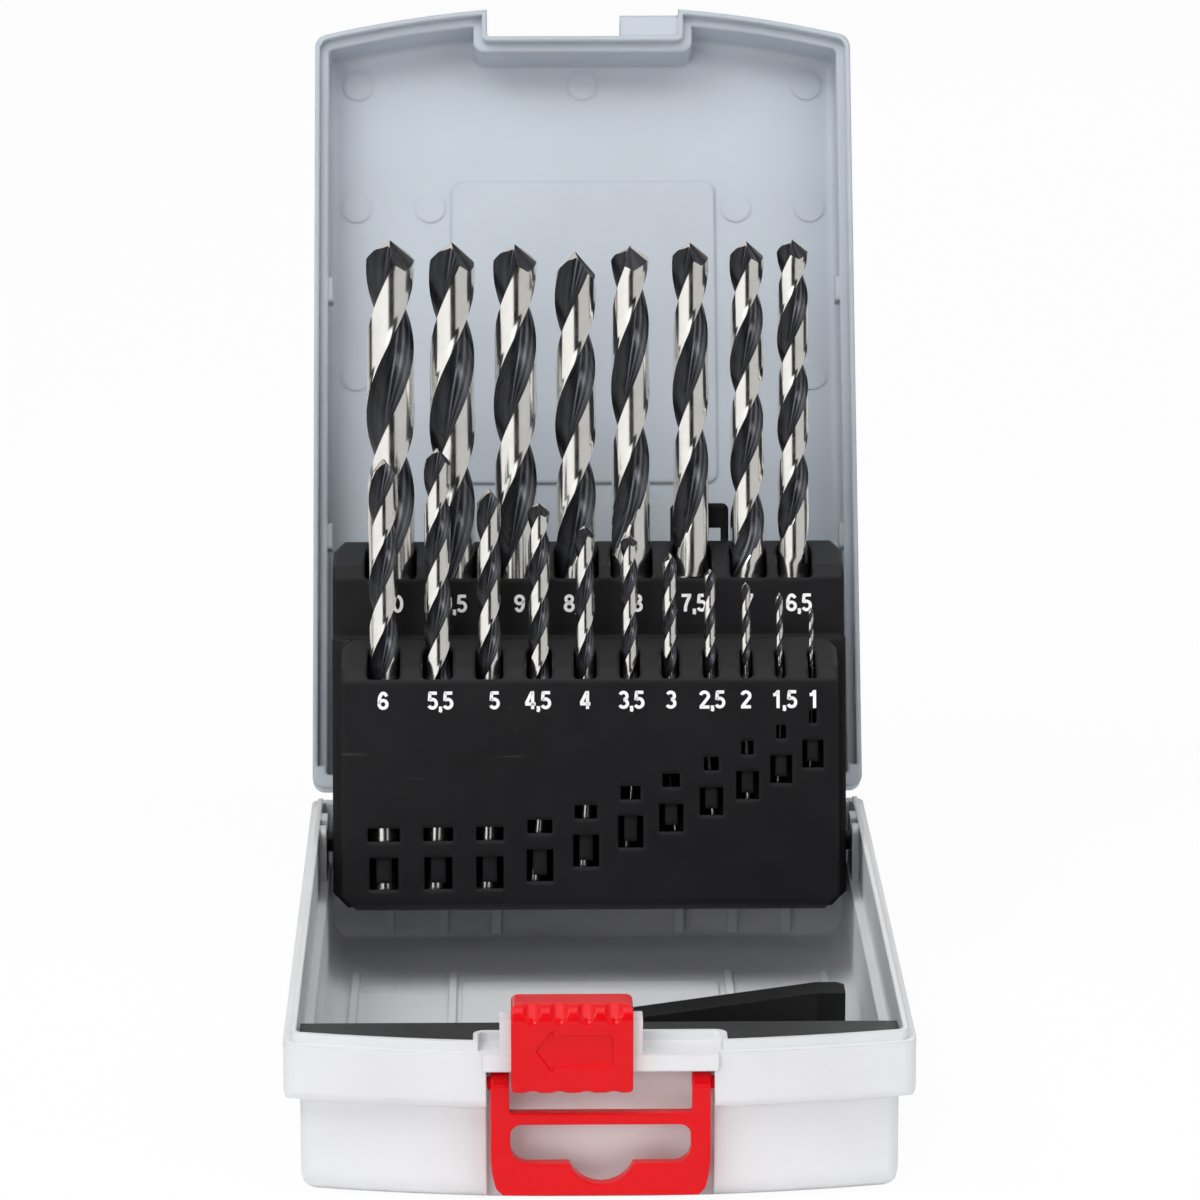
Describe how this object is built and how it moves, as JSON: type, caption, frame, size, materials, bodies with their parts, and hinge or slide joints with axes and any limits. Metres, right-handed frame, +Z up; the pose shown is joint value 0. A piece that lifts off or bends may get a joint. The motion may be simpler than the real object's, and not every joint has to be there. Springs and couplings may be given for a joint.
{
  "type": "drill bit case",
  "caption": "Plastic case with a hinged lid, swing-up holder for metric twist drills, sliding latch and fold-out hanger.",
  "frame": {"origin": "centre of the base's footprint, on the surface it stands on", "axes": "+X to the right seen from the latch, +Y from the latch to the hinge, +Z up"},
  "size_m": [0.115, 0.2567, 0.1854],
  "materials": {
    "white_plastic": "fine satin moulding",
    "grey_plastic": "fine satin moulding",
    "red_plastic": "satin",
    "black_plastic": "matte, fine texture",
    "tool_steel": "bright lands, blackened flutes"
  },
  "bodies": {
    "base": {"base_shell": "white_plastic", "tip_guard": "black_plastic"},
    "lid": {"lid_shell": "grey_plastic"},
    "slider": {"latch_slider": "red_plastic"},
    "hanger": {"hanger": "red_plastic"},
    "holder": {"bit_holder": "black_plastic"},
    "bit_10_0": {"drill_10_0": "tool_steel"},
    "bit_9_5": {"drill_9_5": "tool_steel"},
    "bit_9_0": {"drill_9_0": "tool_steel"},
    "bit_8_5": {"drill_8_5": "tool_steel"},
    "bit_8_0": {"drill_8_0": "tool_steel"},
    "bit_7_5": {"drill_7_5": "tool_steel"},
    "bit_7_0": {"drill_7_0": "tool_steel"},
    "bit_6_5": {"drill_6_5": "tool_steel"},
    "bit_6_0": {"drill_6_0": "tool_steel"},
    "bit_5_5": {"drill_5_5": "tool_steel"},
    "bit_5_0": {"drill_5_0": "tool_steel"},
    "bit_4_5": {"drill_4_5": "tool_steel"},
    "bit_4_0": {"drill_4_0": "tool_steel"},
    "bit_3_5": {"drill_3_5": "tool_steel"},
    "bit_3_0": {"drill_3_0": "tool_steel"},
    "bit_2_5": {"drill_2_5": "tool_steel"},
    "bit_2_0": {"drill_2_0": "tool_steel"},
    "bit_1_5": {"drill_1_5": "tool_steel"},
    "bit_1_0": {"drill_1_0": "tool_steel"}
  },
  "joints": [
    {"name": "lid_hinge", "type": "hinge", "parent": "base", "child": "lid", "pos_m": [0, 0.08614, 0.03055], "axis": [-1, 0, 0], "range_deg": [-115.2, 0]},
    {"name": "holder_pivot", "type": "hinge", "parent": "base", "child": "holder", "pos_m": [0, 0.062, 0.027], "axis": [-1, 0, 0], "range_deg": [-103.65, 0]},
    {"name": "latch_slide", "type": "slide", "parent": "base", "child": "slider", "axis": [1, 0, 0], "range_m": [0, 0.01]},
    {"name": "hanger_hinge", "type": "hinge", "parent": "base", "child": "hanger", "pos_m": [0, -0.0826, 0.0232], "axis": [-1, 0, 0], "range_deg": [0, 90]},
    {"name": "lift_10_0", "type": "slide", "parent": "holder", "child": "bit_10_0", "axis": [0, 0.236, 0.9718], "range_m": [0, 0.0722]},
    {"name": "lift_9_5", "type": "slide", "parent": "holder", "child": "bit_9_5", "axis": [0, 0.236, 0.9718], "range_m": [0, 0.0647]},
    {"name": "lift_9_0", "type": "slide", "parent": "holder", "child": "bit_9_0", "axis": [0, 0.236, 0.9718], "range_m": [0, 0.0651]},
    {"name": "lift_8_5", "type": "slide", "parent": "holder", "child": "bit_8_5", "axis": [0, 0.236, 0.9718], "range_m": [0, 0.0589]},
    {"name": "lift_8_0", "type": "slide", "parent": "holder", "child": "bit_8_0", "axis": [0, 0.236, 0.9718], "range_m": [0, 0.0576]},
    {"name": "lift_7_5", "type": "slide", "parent": "holder", "child": "bit_7_5", "axis": [0, 0.236, 0.9718], "range_m": [0, 0.0489]},
    {"name": "lift_7_0", "type": "slide", "parent": "holder", "child": "bit_7_0", "axis": [0, 0.236, 0.9718], "range_m": [0, 0.0487]},
    {"name": "lift_6_5", "type": "slide", "parent": "holder", "child": "bit_6_5", "axis": [0, 0.236, 0.9718], "range_m": [0, 0.0403]},
    {"name": "lift_6_0", "type": "slide", "parent": "holder", "child": "bit_6_0", "axis": [0, 0.236, 0.9718], "range_m": [0, 0.0546]},
    {"name": "lift_5_5", "type": "slide", "parent": "holder", "child": "bit_5_5", "axis": [0, 0.236, 0.9718], "range_m": [0, 0.0546]},
    {"name": "lift_5_0", "type": "slide", "parent": "holder", "child": "bit_5_0", "axis": [0, 0.236, 0.9718], "range_m": [0, 0.0546]},
    {"name": "lift_4_5", "type": "slide", "parent": "holder", "child": "bit_4_5", "axis": [0, 0.236, 0.9718], "range_m": [0, 0.0539]},
    {"name": "lift_4_0", "type": "slide", "parent": "holder", "child": "bit_4_0", "axis": [0, 0.236, 0.9718], "range_m": [0, 0.0536]},
    {"name": "lift_3_5", "type": "slide", "parent": "holder", "child": "bit_3_5", "axis": [0, 0.236, 0.9718], "range_m": [0, 0.0506]},
    {"name": "lift_3_0", "type": "slide", "parent": "holder", "child": "bit_3_0", "axis": [0, 0.236, 0.9718], "range_m": [0, 0.0453]},
    {"name": "lift_2_5", "type": "slide", "parent": "holder", "child": "bit_2_5", "axis": [0, 0.236, 0.9718], "range_m": [0, 0.0445]},
    {"name": "lift_2_0", "type": "slide", "parent": "holder", "child": "bit_2_0", "axis": [0, 0.236, 0.9718], "range_m": [0, 0.0392]},
    {"name": "lift_1_5", "type": "slide", "parent": "holder", "child": "bit_1_5", "axis": [0, 0.236, 0.9718], "range_m": [0, 0.0324]},
    {"name": "lift_1_0", "type": "slide", "parent": "holder", "child": "bit_1_0", "axis": [0, 0.236, 0.9718], "range_m": [0, 0.0295]}
  ],
  "couplings": [
    {"joint": "holder_pivot", "follows": "lid_hinge", "ratio": 0.8997}
  ]
}
